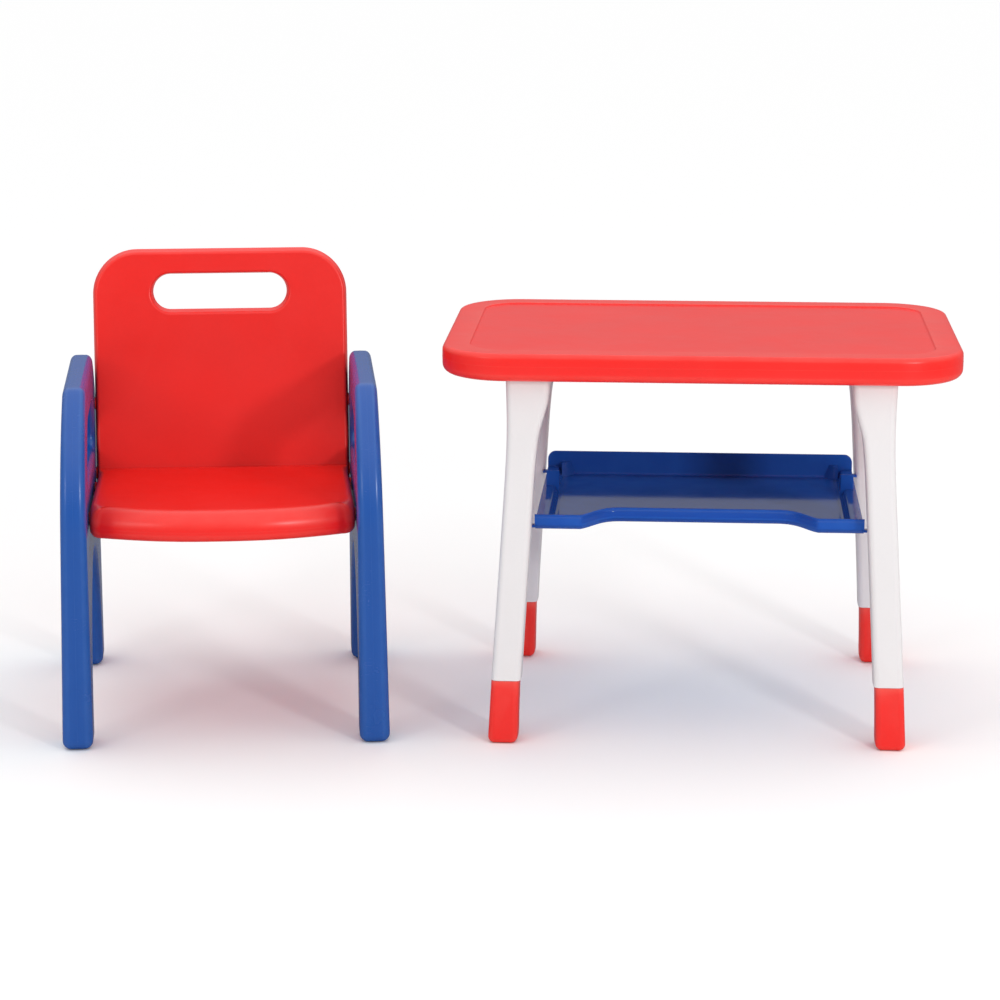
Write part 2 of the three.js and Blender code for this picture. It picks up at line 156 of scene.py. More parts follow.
TOP_WIDTH, TOP_DEPTH, TOP_HEIGHT = 0.5994, 0.3994, 0.460
TOP_THICK = 0.0325
TOP_CORNER = 0.076
TOP_UPPER_EDGE, TOP_LOWER_EDGE = 0.006, 0.010
RIM_WIDTH = 0.032
FIELD = TOP_HEIGHT - 0.002
UNDERSIDE = TOP_HEIGHT - TOP_THICK
DIMPLES_ACROSS, DIMPLES_ALONG = 5, 3
DIMPLE_PITCH = (0.070, 0.078)
# (radius, height above the underside) from just below the mouth to the blunt end.
DIMPLE = [(0.0165, -0.001), (0.0165, 0), (0.0145, 0.0012), (0.0095, 0.0125), (0.0075, 0.0135)]
# The second red is the lighter tone on rounded edges: a little rubbing, and a painted highlight line
# along them.
RED, RED_EDGE_WEAR_AND_HIGHLIGHT = (0.90, 0.009, 0.005, 1), (0.95, 0.24, 0.19, 1)


def arc(x, y, radius, start, stop, steps=20):
    """Points on a round corner, from start to stop in degrees, both ends included."""
    turns = [math.radians(start + (stop - start) * i / steps) for i in range(steps + 1)]
    return [(x + radius * math.cos(a), y + radius * math.sin(a)) for a in turns]


def rounded_rectangle(width, depth, corner, steps=20):
    """An anticlockwise outline about the centre."""
    x, y = width / 2 - corner, depth / 2 - corner
    return (
        arc(x, y, corner, 0, 90, steps)
        + arc(-x, y, corner, 90, 180, steps)
        + arc(-x, -y, corner, 180, 270, steps)
        + arc(x, -y, corner, 270, 360, steps)
    )


def drawn_in(outline, amount):
    """An anticlockwise outline moved inwards by an amount, or by a list of one for each point."""
    moved = []
    for i, point in enumerate(outline):
        reach = amount[i] if isinstance(amount, list) else amount
        here = Vector(point)
        arriving = (here - Vector(outline[i - 1])).normalized()
        leaving = (Vector(outline[(i + 1) % len(outline)]) - here).normalized()
        inward = Vector((-arriving.y - leaving.y, arriving.x + leaving.x)).normalized()
        share = max(0.4, inward.dot(Vector((-arriving.y, arriving.x))))
        moved.append(tuple(here + inward * (reach / share)))
    return moved


def skin(rings, low_cap=True, high_cap=True):
    """A mesh over a list of rings of 3-D points, each ring anticlockwise seen from above."""
    count = len(rings[0])
    points = [point for ring in rings for point in ring]
    faces = []
    for level in range(len(rings) - 1):
        base = level * count
        for i in range(count):
            j = (i + 1) % count
            faces.append((base + i, base + j, base + count + j, base + count + i))
    if low_cap:
        faces.append(tuple(reversed(range(count))))
    if high_cap:
        faces.append(tuple(range((len(rings) - 1) * count, len(rings) * count)))
    mesh = bpy.data.meshes.new("piece")
    mesh.from_pydata(points, [], faces)
    return mesh


def plate_rings(outline, profile):
    """Rings for a plate, from (how far drawn in, height) pairs that run from below to above."""
    return [[(x, y, height) for x, y in drawn_in(outline, inset)] for inset, height in profile]


def edge_profile(thick, lower, upper, draft=0.02, steps=8):
    """The section of a moulded edge: round corners, walls that draft to a parting line between."""
    line = (lower + thick - upper) / 2
    ridge = 0.0001

    def corner(radius, high):
        """A round corner as (how far drawn in, height), tangent to the drafted wall."""
        level = high - radius
        middle = (radius + level * math.sin(draft)) / math.cos(draft)
        turns = [draft + (math.pi / 2 - draft) * i / steps for i in range(steps + 1)]
        return [(ridge + middle - radius * math.cos(a), level + radius * math.sin(a)) for a in turns]

    below = [(inset, line - rise) for inset, rise in reversed(corner(lower, line))]
    above = [(inset, line + rise) for inset, rise in corner(upper, thick - line)]
    seam = [(ridge, line - 4 * ridge), (0, line), (ridge, line + 4 * ridge)]
    return below + seam + above


def with_cutters(base, cutters, operation="DIFFERENCE"):
    """A mesh with others cut from it or joined to it."""
    whole = bpy.data.objects.new("whole", base)
    bpy.context.scene.collection.objects.link(whole)
    tools = []
    for cutter in cutters:
        tool = bpy.data.objects.new("tool", cutter)
        bpy.context.scene.collection.objects.link(tool)
        tools.append(tool)
        step = whole.modifiers.new("cut", "BOOLEAN")
        step.operation = operation
        step.solver = "EXACT"
        step.object = tool
    bpy.context.view_layer.update()
    evaluated = whole.evaluated_get(bpy.context.evaluated_depsgraph_get())
    result = bpy.data.meshes.new_from_object(evaluated)
    for thing in tools + [whole]:
        bpy.data.objects.remove(thing)
    return result


def put(name, mesh, stand, finish, rim=0.0):
    """Stands a mesh in the set as a smooth-shaded object, its sharp rims eased if asked."""
    mesh.transform(stand)
    mesh.name = name
    mesh.materials.clear()
    mesh.materials.append(finish)
    for face in mesh.polygons:
        face.use_smooth = True
    thing = bpy.data.objects.new(name, mesh)
    bpy.context.scene.collection.objects.link(thing)
    if rim:
        ease = thing.modifiers.new("ease", "BEVEL")
        ease.width = rim
        ease.segments = 3
        ease.limit_method = "ANGLE"
        ease.angle_limit = math.radians(40)
        ease.use_clamp_overlap = True
    flat = thing.modifiers.new("flat_faces", "WEIGHTED_NORMAL")
    flat.keep_sharp = True
    flat.weight = 60
    return thing


def turned(profile, sides=40):
    """A closed turned mesh about Z from (radius, height) pairs, none on the axis."""
    rings = []
    for radius, height in profile:
        turn = [2 * math.pi * i / sides for i in range(sides)]
        rings.append([(radius * math.cos(a), radius * math.sin(a), height) for a in turn])
    return skin(rings)


def noise(tree, scale, detail, where, stretch=(1, 1, 1)):
    """A noise texture on the piece's own coordinates."""
    mapping = tree.nodes.new("ShaderNodeMapping")
    mapping.inputs["Scale"].default_value = stretch
    tree.links.new(where, mapping.inputs["Vector"])
    texture = tree.nodes.new("ShaderNodeTexNoise")
    texture.inputs["Scale"].default_value = scale
    texture.inputs["Detail"].default_value = detail
    tree.links.new(mapping.outputs["Vector"], texture.inputs["Vector"])
    return texture.outputs["Fac"]


def ranged(tree, value, low, high, to_low, to_high):
    """A value spread from one range to another; the ends may be numbers or sockets."""
    node = tree.nodes.new("ShaderNodeMapRange")
    tree.links.new(value, node.inputs["Value"])
    for socket, end in (("From Min", low), ("From Max", high), ("To Min", to_low), ("To Max", to_high)):
        if isinstance(end, (int, float)):
            node.inputs[socket].default_value = end
        else:
            tree.links.new(end, node.inputs[socket])
    return node.outputs["Result"]


def maths(tree, operation, first, second):
    """One sum; either value may be a number or a socket."""
    node = tree.nodes.new("ShaderNodeMath")
    node.operation = operation
    for socket, value in zip(node.inputs, (first, second)):
        if isinstance(value, (int, float)):
            socket.default_value = value
        else:
            tree.links.new(value, socket)
    return node.outputs["Value"]


def moulded_skin():
    """Group: what a moulded plastic surface does to its colour, gloss and height."""
    group = bpy.data.node_groups.new("moulded_skin", "ShaderNodeTree")
    sockets = (
        ("Colour", "NodeSocketColor", (0.5, 0.5, 0.5, 1)),
        ("Edge Wear And Highlight Colour", "NodeSocketColor", (0.8, 0.8, 0.8, 1)),
        ("Edge Amount", "NodeSocketFloat", 0.3),
        ("Mottle", "NodeSocketFloat", 0.05),
        ("Roughness", "NodeSocketFloat", 0.4),
        ("Rub", "NodeSocketFloat", 0.05),
        ("Grain Size", "NodeSocketFloat", 900.0),
        ("Grain Depth", "NodeSocketFloat", 0.4),
    )
    for name, kind, default in sockets:
        group.interface.new_socket(name, in_out="INPUT", socket_type=kind).default_value = default
    group.interface.new_socket("Colour", in_out="OUTPUT", socket_type="NodeSocketColor")
    group.interface.new_socket("Roughness", in_out="OUTPUT", socket_type="NodeSocketFloat")
    group.interface.new_socket("Height", in_out="OUTPUT", socket_type="NodeSocketFloat")
    given = group.nodes.new("NodeGroupInput").outputs
    result = group.nodes.new("NodeGroupOutput").inputs
    where = group.nodes.new("ShaderNodeTexCoord").outputs["Object"]

    # Pigment that didn't mix quite evenly: slow clouds and a finer fleck.
    clouds = noise(group, 7.0, 3.0, where)
    fleck = noise(group, 260.0, 2.0, where)
    cloudy = ranged(group, clouds, 0.3, 0.7, -1.0, 1.0)
    flecked = ranged(group, fleck, 0.3, 0.7, -0.35, 0.35)
    unevenness = maths(group, "MULTIPLY", maths(group, "ADD", cloudy, flecked), given["Mottle"])
    tone = group.nodes.new("ShaderNodeHueSaturation")
    group.links.new(given["Colour"], tone.inputs["Color"])
    group.links.new(maths(group, "ADD", unevenness, 1.0), tone.inputs["Value"])

    # Rounded edges are lighter than the faces between them, in patches: a little rubbing, and mostly a
    # painted highlight line along every rounded edge.
    edge = group.nodes.new("ShaderNodeNewGeometry").outputs["Pointiness"]
    edge_for_wear_and_highlight = ranged(group, edge, 0.505, 0.56, 0.0, 1.0)
    patches = ranged(group, noise(group, 40.0, 4.0, where), 0.35, 0.65, 0.6, 1.0)
    patchy = maths(group, "MULTIPLY", edge_for_wear_and_highlight, patches)
    worn_and_highlit_edges = maths(group, "MULTIPLY", patchy, given["Edge Amount"])
    edge_wear_and_highlight_mix = group.nodes.new("ShaderNodeMix")
    edge_wear_and_highlight_mix.data_type = "RGBA"
    group.links.new(worn_and_highlit_edges, edge_wear_and_highlight_mix.inputs["Factor"])
    group.links.new(tone.outputs["Color"], edge_wear_and_highlight_mix.inputs["A"])
    group.links.new(given["Edge Wear And Highlight Colour"], edge_wear_and_highlight_mix.inputs["B"])
    group.links.new(edge_wear_and_highlight_mix.outputs["Result"], result["Colour"])

    # Gloss wanders, and hair scratches in two directions dull it.
    haze = ranged(group, noise(group, 16.0, 5.0, where), 0.3, 0.7, -1.0, 1.0)
    hair_a = ranged(group, noise(group, 60.0, 2.0, where, (1.0, 22.0, 22.0)), 0.66, 0.72, 0.0, 1.0)
    hair_b = ranged(group, noise(group, 60.0, 2.0, where, (20.0, 1.3, 20.0)), 0.67, 0.73, 0.0, 1.0)
    scratched = maths(group, "MAXIMUM", hair_a, hair_b)
    worn = maths(group, "ADD", haze, maths(group, "MULTIPLY", scratched, 0.5))
    dulling = maths(group, "MULTIPLY", worn, given["Rub"])
    group.links.new(maths(group, "ADD", dulling, given["Roughness"]), result["Roughness"])

    # The mould's fine spark-eroded grain, over the slight ripple of a cooled wall.
    grain = group.nodes.new("ShaderNodeTexNoise")
    grain.inputs["Detail"].default_value = 3.0
    group.links.new(where, grain.inputs["Vector"])
    group.links.new(given["Grain Size"], grain.inputs["Scale"])
    ripple = noise(group, 22.0, 1.0, where)
    fine = maths(group, "MULTIPLY", grain.outputs["Fac"], given["Grain Depth"])
    height = maths(group, "ADD", fine, maths(group, "MULTIPLY", ripple, 6.0))
    group.links.new(height, result["Height"])
    return group


skin_group = moulded_skin()
GRAIN_HEIGHT = 0.00005


def moulded_plastic(name, colour, edge_wear_and_highlight_colour, roughness, grain_size, grain_depth, bump, **more):
    """A moulded plastic: the shared skin group in front of a Principled shader.

    More values go to the group's other sockets by name, such as edge_amount to Edge Amount.
    """
    finish = bpy.data.materials.new(name)
    finish.use_nodes = True
    tree = finish.node_tree
    shader = tree.nodes["Principled BSDF"]
    shader.inputs["IOR"].default_value = 1.5
    surface = tree.nodes.new("ShaderNodeGroup")
    surface.node_tree = skin_group
    surface.inputs["Colour"].default_value = colour
    # The edge colour is the lighter tone of the rounded edges: a little rubbing, and a painted highlight
    # line along them.
    surface.inputs["Edge Wear And Highlight Colour"].default_value = edge_wear_and_highlight_colour
    surface.inputs["Roughness"].default_value = roughness
    surface.inputs["Grain Size"].default_value = grain_size
    surface.inputs["Grain Depth"].default_value = grain_depth
    for socket, value in more.items():
        surface.inputs[socket.replace("_", " ").title()].default_value = value
    tree.links.new(surface.outputs["Colour"], shader.inputs["Base Color"])
    tree.links.new(surface.outputs["Roughness"], shader.inputs["Roughness"])
    relief = tree.nodes.new("ShaderNodeBump")
    relief.inputs["Strength"].default_value = bump
    relief.inputs["Distance"].default_value = GRAIN_HEIGHT
    tree.links.new(surface.outputs["Height"], relief.inputs["Height"])
    tree.links.new(relief.outputs["Normal"], shader.inputs["Normal"])
    return finish


red_plastic = moulded_plastic(
    "red_polyethylene", RED, RED_EDGE_WEAR_AND_HIGHLIGHT, roughness=0.33, grain_size=1100.0, grain_depth=0.5,
    bump=0.25, mottle=0.03, edge_amount=0.5, rub=0.04,
)

top_outline = rounded_rectangle(TOP_WIDTH, TOP_DEPTH, TOP_CORNER, 28)
top_profile = [
    (inset, UNDERSIDE + height)
    for inset, height in edge_profile(TOP_THICK, TOP_LOWER_EDGE, TOP_UPPER_EDGE)
]
top_profile += [
    (RIM_WIDTH - 0.0012, TOP_HEIGHT),
    (RIM_WIDTH - 0.0004, TOP_HEIGHT - 0.0002),
    (RIM_WIDTH, TOP_HEIGHT - 0.0007),
    (RIM_WIDTH + 0.0005, FIELD + 0.0006),
    (RIM_WIDTH + 0.0011, FIELD + 0.0001),
    (RIM_WIDTH + 0.0020, FIELD),
]
top_mesh = skin(plate_rings(top_outline, top_profile))
dimples = []
for column in range(DIMPLES_ACROSS):
    for row in range(DIMPLES_ALONG):
        dimple = turned(DIMPLE, 32)
        dimple.transform(Matrix.Translation((
            (column - (DIMPLES_ACROSS - 1) / 2) * DIMPLE_PITCH[0],
            (row - (DIMPLES_ALONG - 1) / 2) * DIMPLE_PITCH[1],
            UNDERSIDE,
        )))
        dimples.append(dimple)
tabletop = put("tabletop", with_cutters(top_mesh, dimples), table_stand, red_plastic)
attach(tabletop, "table")
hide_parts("tabletop")

# ---------------------------------------------------------------- table legs and foot caps
# Four white legs, hollow mouldings that splay outwards to the floor and flare like a bracket
# under the top. Each stands in a socket of the tabletop and is held by a screw through a small
# ear behind it. A red cap plugs its lower end, flush outside with a fine groove between.

GAP = 0.0003  # between pieces that meet
LEG_TOP = UNDERSIDE - GAP
LEG_PAST_TOP = LEG_TOP + 0.015  # the outlines run on to here, and are cut off flat at the top
CAP_CORNER = 0.008
LEG_OUTER = [
    (0.2422, CAP_CORNER), (0.2375, 0.095), (0.229, 0.231), (0.2224, 0.350), (0.2236, LEG_TOP),
    (0.2238, LEG_PAST_TOP),
]
LEG_INNER = [
    (0.205, CAP_CORNER), (0.2024, 0.095), (0.1914, 0.281), (0.188, 0.330), (0.1843, 0.362),
    (0.1786, 0.384), (0.1742, 0.402), (0.1723, LEG_TOP), (0.172, LEG_PAST_TOP),
]
LEG_FACE, LEG_LEAN = 0.204, 0.027
LEG_DEEP_FLOOR, LEG_DEEP_TOP = 0.040, 0.048
LEG_EDGE = 0.007
CAP_HEIGHT = 0.075
CAP_STEP = 0.002
EAR_X, EAR_WIDE, EAR_LONG, EAR_THICK = 0.189, 0.026, 0.024, 0.005
EAR_ROOT = 0.006  # how far the ear and the web under it run into the leg
WEB_THICK, WEB_LONG, WEB_LOW, WEB_HIGH = 0.003, 0.005, 0.016, 0.003
# The second white is the lighter tone on rounded edges: a little rubbing, and a painted highlight line
# along them.
WHITE, WHITE_EDGE_WEAR_AND_HIGHLIGHT = (0.78, 0.755, 0.76, 1), (0.95, 0.94, 0.94, 1)


def through(points, steps=8):
    """A smooth curve through points."""
    padded = [points[0]] + list(points) + [points[-1]]
    curve = []
    for i in range(1, len(padded) - 2):
        before, start, end, after = (Vector(p) for p in padded[i - 1:i + 3])
        for k in range(steps):
            t = k / steps
            curve.append(tuple(
                0.5 * (2 * start + (end - before) * t
                       + (2 * before - 5 * start + 4 * end - after) * t ** 2
                       + (3 * start - before - 3 * end + after) * t ** 3)
            ))
    curve.append(tuple(points[-1]))
    return curve


def tapered_leg(step=0.0):
    """The front right leg and its foot in one, its inner face set back by a step."""
    outer = through(LEG_OUTER)
    inner = through([(x + step, z) for x, z in LEG_INNER])
    low_inner, low_outer = inner[0][0], outer[0][0]
    bottom = (
        arc(low_inner + CAP_CORNER, CAP_CORNER, CAP_CORNER, 180, 270, 8)
        + arc(low_outer - CAP_CORNER, CAP_CORNER, CAP_CORNER, 270, 360, 8)[:-1]
    )
    outline = bottom + outer + inner[:0:-1]
    profile = edge_profile(LEG_DEEP_TOP, LEG_EDGE, LEG_EDGE)
    rings = []
    for inset, across in profile:
        ring = []
        for x, z in drawn_in(outline, inset):
            share = max(0.0, z) / UNDERSIDE
            deep = LEG_DEEP_FLOOR + (LEG_DEEP_TOP - LEG_DEEP_FLOOR) * share
            front = -LEG_FACE + LEG_LEAN * share
            ring.append((x, front + deep * (1 - across / LEG_DEEP_TOP), z))
        rings.append(ring)
    return skin(rings)


def part_of(mesh, height, above):
    """What lies above or below a level, closed by a flat face with an eased rim."""
    bm = bmesh.new()
    bm.from_mesh(mesh)
    cut = bmesh.ops.bisect_plane(
        bm, geom=bm.verts[:] + bm.edges[:] + bm.faces[:],
        plane_co=(0, 0, height), plane_no=(0, 0, 1), clear_inner=above, clear_outer=not above,
    )
    edges = [e for e in cut["geom_cut"] if isinstance(e, bmesh.types.BMEdge)]
    bmesh.ops.edgeloop_fill(bm, edges=edges)
    bmesh.ops.recalc_face_normals(bm, faces=bm.faces[:])
    bmesh.ops.bevel(bm, geom=edges, offset=0.0006, segments=2, affect="EDGES", profile=0.5)
    result = bpy.data.meshes.new("part")
    bm.to_mesh(result)
    bm.free()
    return result


def bevelled_box(low, high, edge=0.001):
    """A box between two corners with rounded edges."""
    bm = bmesh.new()
    size = Vector(high) - Vector(low)
    middle = (Vector(high) + Vector(low)) / 2
    bmesh.ops.create_cube(bm, size=1, matrix=Matrix.Translation(middle) @ Matrix.Diagonal((*size, 1)))
    bmesh.ops.bevel(bm, geom=bm.edges[:], offset=edge, segments=3, affect="EDGES", profile=0.5)
    mesh = bpy.data.meshes.new("box")
    bm.to_mesh(mesh)
    bm.free()
    return mesh


def mirrored(mesh, along_x, along_y):
    """A copy reflected in the centre planes where a sign is -1, its faces still outwards."""
    copy = mesh.copy()
    copy.transform(Matrix.Diagonal((along_x, along_y, 1, 1)))
    if along_x * along_y < 0:
        copy.flip_normals()
    return copy


white_plastic = moulded_plastic(
    "white_polypropylene", WHITE, WHITE_EDGE_WEAR_AND_HIGHLIGHT, roughness=0.38, grain_size=1300.0, grain_depth=0.4,
    bump=0.3, mottle=0.012, edge_amount=0.2, rub=0.05,
)
ear_front = -LEG_FACE + LEG_LEAN + LEG_DEEP_TOP
ear_mesh = bevelled_box(
    (EAR_X - EAR_WIDE / 2, ear_front - EAR_ROOT, LEG_TOP - EAR_THICK),
    (EAR_X + EAR_WIDE / 2, ear_front + EAR_LONG, LEG_TOP), 0.0012,
)
web_mesh = bevelled_box(
    (EAR_X - WEB_THICK / 2, ear_front - EAR_ROOT, LEG_TOP - WEB_LOW),
    (EAR_X + WEB_THICK / 2, ear_front + WEB_LONG, LEG_TOP - WEB_HIGH), 0.0006,
)
leg_mesh = part_of(part_of(tapered_leg(), CAP_HEIGHT, True), LEG_TOP, False)
leg_mesh = with_cutters(leg_mesh, [ear_mesh, web_mesh], "UNION")
cap_mesh = part_of(tapered_leg(CAP_STEP), CAP_HEIGHT - GAP, False)
SIDES = (("left", -1), ("right", 1))
PLACES = [(f"{end}_{side}", x, y) for end, y in (("front", 1), ("rear", -1)) for side, x in SIDES]
for place, x, y in PLACES:
    leg = put(f"leg_{place}", mirrored(leg_mesh, x, y), table_stand, white_plastic)
    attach(leg, "table")
    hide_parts(f"leg_{place}")
    cap = put(f"foot_cap_{place}", mirrored(cap_mesh, x, y), table_stand, red_plastic)
    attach(cap, "table")
    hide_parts(f"foot_cap_{place}")

# ---------------------------------------------------------------- leg screws
# Four pan-head steel screws, zinc plated, with a cross recess. Each goes up through the ear
# of a leg into the tabletop.

SCREW_HEAD, SCREW_HEAD_DEEP, SCREW_SHANK, SCREW_LENGTH = 0.0045, 0.003, 0.002, 0.018
SCREW_BEHIND = 0.012  # from the back of the leg
RECESS_HALF, SLIT_HALF, RECESS_END = 0.0022, 0.00045, 0.0012
ZINC_DARK, ZINC_BRIGHT = (0.50, 0.51, 0.53, 1), (0.72, 0.73, 0.74, 1)


def brushed_zinc():
    """Bright zinc plate on steel: turned marks and a faint bloom."""
    finish = bpy.data.materials.new("zinc_plate")
    finish.use_nodes = True
    tree = finish.node_tree
    shader = tree.nodes["Principled BSDF"]
    shader.inputs["Metallic"].default_value = 1.0
    where = tree.nodes.new("ShaderNodeTexCoord").outputs["Object"]
    bloom = noise(tree, 300.0, 4.0, where)
    colour = tree.nodes.new("ShaderNodeMix")
    colour.data_type = "RGBA"
    colour.inputs["A"].default_value = ZINC_DARK
    colour.inputs["B"].default_value = ZINC_BRIGHT
    tree.links.new(bloom, colour.inputs["Factor"])
    tree.links.new(colour.outputs["Result"], shader.inputs["Base Color"])
    tree.links.new(ranged(tree, bloom, 0.3, 0.7, 0.22, 0.42), shader.inputs["Roughness"])
    marks = noise(tree, 2400.0, 2.0, where, (1.0, 1.0, 0.2))
    relief = tree.nodes.new("ShaderNodeBump")
    relief.inputs["Strength"].default_value = 0.25
    relief.inputs["Distance"].default_value = 0.00003
    tree.links.new(marks, relief.inputs["Height"])
    tree.links.new(relief.outputs["Normal"], shader.inputs["Normal"])
    return finish


zinc = brushed_zinc()
head_top = LEG_TOP - EAR_THICK - GAP
point = head_top + SCREW_LENGTH
screw_mesh = turned([
    (SCREW_HEAD * 0.25, head_top - SCREW_HEAD_DEEP),
    (SCREW_HEAD * 0.62, head_top - SCREW_HEAD_DEEP * 0.93),
    (SCREW_HEAD * 0.86, head_top - SCREW_HEAD_DEEP * 0.72),
    (SCREW_HEAD * 0.97, head_top - SCREW_HEAD_DEEP * 0.42),
    (SCREW_HEAD, head_top - 0.0004),
    (SCREW_HEAD * 0.97, head_top),
    (SCREW_SHANK, head_top),
    (SCREW_SHANK, point - 0.003),
    (0.0003, point),
])
cross = [
    bevelled_box((-x, -y, head_top - 0.005), (x, y, head_top - RECESS_END), 0.0001)
    for x, y in ((RECESS_HALF, SLIT_HALF), (SLIT_HALF, RECESS_HALF))
]
screw_mesh = with_cutters(screw_mesh, cross)
screw_mesh.transform(Matrix.Translation((EAR_X, ear_front + SCREW_BEHIND, 0)))
for place, x, y in PLACES:
    screw = put(f"leg_screw_{place}", mirrored(screw_mesh, x, y), table_stand, zinc)
    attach(screw, "table")
    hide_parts(f"leg_screw_{place}")

# ---------------------------------------------------------------- tray
# A thin blue injection moulding with a high gloss. Its back wall is tall with round corners, a
# short cross wall stands on the ledge at each end, and its front is rolled over into a lip that
# comes forward at both ends. Small tongues on its ends sit in slots in the legs.

TRAY_HALF = 0.1902
TRAY_FRONT, TRAY_MIDDLE_FRONT, TRAY_BACK = -0.160, -0.118, 0.1495
TRAY_EAR_INNER, MIDDLE_HALF = 0.138, 0.092
TRAY_BOTTOM, TRAY_FLOOR, TRAY_LEDGE, TRAY_LIP, TRAY_TOP = 0.2435, 0.246, 0.256, 0.265, 0.275
FLOOR_HALF = 0.170
WALL = 0.0025
TRAY_EAR_LOWEST = TRAY_LIP - 0.0125  # the underside of the ears, hidden by the lip
PAN_HALF, PAN_BACK = FLOOR_HALF + 0.004, TRAY_BACK - 0.001  # the floor runs a little into the walls
COVE = 0.003
CROSS_WALL = 0.036
TRAY_CORNER = 0.010
TONGUE_LONG, TONGUE_WIDE, TONGUE_LOW, TONGUE_HIGH = 0.006, 0.009, 0.248, 0.251
TONGUE_BACK = 0.006  # from the front of the ear
# The second blue is the lighter tone on rounded edges: a little rubbing, and a painted highlight line
# along them.
BLUE_GLOSS, BLUE_GLOSS_EDGE_WEAR_AND_HIGHLIGHT = (0.010, 0.068, 0.38, 1), (0.03, 0.15, 0.55, 1)


def bezier(start, first, second, end, steps=16):
    """Points on a curve from start to end, both included, pulled towards two others."""
    pulls = (start, first, second, end)
    points = []
    for i in range(steps + 1):
        t = i / steps
        weights = ((1 - t) ** 3, 3 * (1 - t) ** 2 * t, 3 * (1 - t) * t ** 2, t ** 3)
        points.append(tuple(sum(w * p[k] for w, p in zip(weights, pulls)) for k in (0, 1)))
    return points


def tray_front_line():
    """The front edge from left to right: ear, sweep back, straight middle, and the same again."""
    sweep = bezier(
        (MIDDLE_HALF, TRAY_MIDDLE_FRONT), (0.118, TRAY_MIDDLE_FRONT),
        (0.124, TRAY_FRONT + 0.010), (TRAY_EAR_INNER, TRAY_FRONT),
    )
    right = [(0.0, TRAY_MIDDLE_FRONT)] + sweep + [(0.150, TRAY_FRONT), (TRAY_HALF, TRAY_FRONT)]
    return [(-x, y) for x, y in right[:0:-1]] + right


def lip_section():
    """Closed section of the ramp and rolled lip as (how far behind the front line, height)."""
    low, pan, lip = TRAY_BOTTOM, TRAY_FLOOR, TRAY_LIP
    over = [
        (0.034, pan), (0.024, pan + 0.0004), (0.016, pan + 0.0022), (0.0095, pan + 0.0065),
        (0.0055, pan + 0.0125), (0.0038, lip - 0.0012), (0.0032, lip - 0.0003), (0.0024, lip),
        (0.0014, lip - 0.0001), (0.0008, lip - 0.0006), (0.0009, lip - 0.0016), (0.0013, lip - 0.0024),
        (0.0010, lip - 0.0032), (0.0003, lip - 0.0042), (0.0, lip - 0.0058), (0.0001, lip - 0.0080),
        (0.0004, lip - 0.0102), (0.0009, lip - 0.0122), (0.0015, lip - 0.0130), (0.0023, lip - 0.0128),
    ]
    under = [
        (0.0028, lip - 0.0110), (0.0034, lip - 0.0070), (0.0060, lip - 0.0085), (0.0095, pan + 0.0040),
        (0.016, low + 0.0012), (0.024, low), (0.034, low),
    ]
    return over + under


def swept(stations, section):
    """A mesh through copies of a closed section: each station gives a point for (behind, height)."""
    rings = [[station(behind, height) for behind, height in section] for station in stations]
    mesh = skin(rings)
    bm = bmesh.new()
    bm.from_mesh(mesh)
    bmesh.ops.recalc_face_normals(bm, faces=bm.faces[:])
    bm.to_mesh(mesh)
    bm.free()
    return mesh


tray_plastic = moulded_plastic(
    "gloss_blue_polypropylene", BLUE_GLOSS, BLUE_GLOSS_EDGE_WEAR_AND_HIGHLIGHT, roughness=0.09, grain_size=800.0,
    grain_depth=0.15, bump=0.15, mottle=0.03, edge_amount=0.3, rub=0.02,
)
tray_plastic.node_tree.nodes["Principled BSDF"].inputs["Specular IOR Level"].default_value = 0.26
front_line = tray_front_line()
lip_stations = [
    (lambda behind, height, x=x, y=y: (x, y + behind, height)) for x, y in front_line
]
floor_front = [(x, y + 0.030) for x, y in front_line if abs(x) <= FLOOR_HALF]
floor_outline = (
    [(-PAN_HALF, floor_front[0][1])] + floor_front + [(PAN_HALF, floor_front[-1][1])]
    + [(PAN_HALF, PAN_BACK), (-PAN_HALF, PAN_BACK)]
)
floor_pan = skin([
    [(x, y, TRAY_BOTTOM) for x, y in floor_outline],
    [(x, y, TRAY_FLOOR) for x, y in floor_outline],
])
ledge_over = [
    (FLOOR_HALF - 0.003, TRAY_FLOOR), (FLOOR_HALF + 0.0005, TRAY_FLOOR + 0.0006),
    (FLOOR_HALF + 0.003, TRAY_FLOOR + 0.0035), (FLOOR_HALF + 0.0055, TRAY_LEDGE - 0.0016),
    (FLOOR_HALF + 0.0078, TRAY_LEDGE), (TRAY_HALF - 0.0010, TRAY_LEDGE),
    (TRAY_HALF - 0.0003, TRAY_LEDGE - 0.0003), (TRAY_HALF, TRAY_LEDGE - 0.0010),
]
ledge_under = [
    (TRAY_HALF, TRAY_BOTTOM + 0.0006), (TRAY_HALF - 0.0006, TRAY_BOTTOM), (TRAY_HALF - WALL, TRAY_BOTTOM),
    (TRAY_HALF - WALL, TRAY_LEDGE - WALL), (FLOOR_HALF + 0.0085, TRAY_LEDGE - WALL),
    (FLOOR_HALF + 0.0050, TRAY_BOTTOM + 0.003), (FLOOR_HALF + 0.002, TRAY_BOTTOM),
    (FLOOR_HALF - 0.003, TRAY_BOTTOM),
]
ledge_levels = (
    (TRAY_FRONT + 0.003, TRAY_EAR_LOWEST), (TRAY_FRONT + 0.010, TRAY_EAR_LOWEST),
    (TRAY_FRONT + 0.022, 0), (PAN_BACK, 0),
)
ledge_stations = [
    (lambda x, height, y=y, lowest=lowest: (x, y, max(height, lowest))) for y, lowest in ledge_levels
]
ledge_mesh = swept(ledge_stations, ledge_over + ledge_under)
